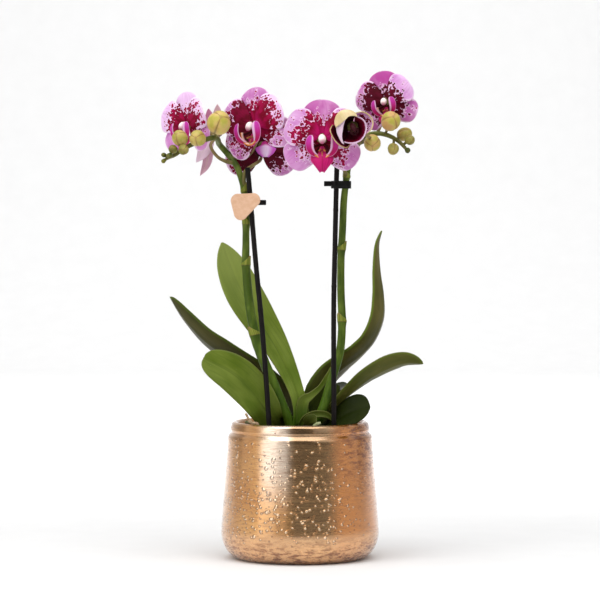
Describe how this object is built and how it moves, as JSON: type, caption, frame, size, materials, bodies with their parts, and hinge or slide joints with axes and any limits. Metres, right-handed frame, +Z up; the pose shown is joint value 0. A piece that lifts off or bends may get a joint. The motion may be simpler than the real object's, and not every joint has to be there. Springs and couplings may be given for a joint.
{
  "type": "potted moth orchid",
  "caption": "Moth orchid with arching leaves and two staked flower spikes of spotted magenta blooms, in a round gold-glazed pot.",
  "frame": {"origin": "centre of the pot's flat underside", "axes": "+Z up along the pot's axis, -Y towards the viewer of the picture, +X to that viewer's right"},
  "size_m": [0.2077, 0.1441, 0.3894],
  "materials": {
    "pot_glaze": "gold to copper lustre glaze on ceramic",
    "nursery_plastic": "thin glossy plastic",
    "bark": "rough bark chunks",
    "crown_green": "waxy green stem",
    "leaf_green": "waxy leathery leaf",
    "stem_green": "waxy green stem, browner towards the flowers",
    "stake_black": "black painted stick",
    "clip_black": "satin black plastic",
    "tag_card": "bare peach plastic card",
    "root_dry": "papery dry root",
    "root_green": "grey-green living root",
    "tepals": "velvety lilac-pink petal with maroon spots",
    "lip": "waxy magenta lip with a yellow throat",
    "column": "waxy white to pink"
  },
  "bodies": {
    "root": {"pot": "pot_glaze", "nursery_pot": "nursery_plastic", "potting_bark": "bark", "crown": "crown_green", "leaf_a": "leaf_green", "leaf_b": "leaf_green", "leaf_c": "leaf_green", "leaf_d": "leaf_green", "leaf_e": "leaf_green", "leaf_f": "leaf_green", "leaf_g": "leaf_green", "leaf_h": "leaf_green", "spike_left": "stem_green", "spike_right": "stem_green", "stake_left": "stake_black", "stake_right": "stake_black", "clip_left": "clip_black", "clip_right": "clip_black", "tag": "tag_card", "root_dry": "root_dry", "root_green_left": "root_green", "root_green_front": "root_green", "bloom_1_tepals": "tepals", "bloom_1_lip": "lip", "bloom_1_column": "column", "bloom_2_tepals": "tepals", "bloom_2_lip": "lip", "bloom_2_column": "column", "bloom_3_tepals": "tepals", "bloom_3_lip": "lip", "bloom_3_column": "column", "bloom_4_tepals": "tepals", "bloom_4_lip": "lip", "bloom_4_column": "column", "bloom_5_tepals": "tepals", "bloom_5_lip": "lip", "bloom_5_column": "column", "bloom_6_tepals": "tepals", "bloom_6_lip": "lip", "bloom_6_column": "column", "bloom_7_tepals": "tepals", "bloom_7_lip": "lip", "bloom_7_column": "column"}
  },
  "joints": []
}
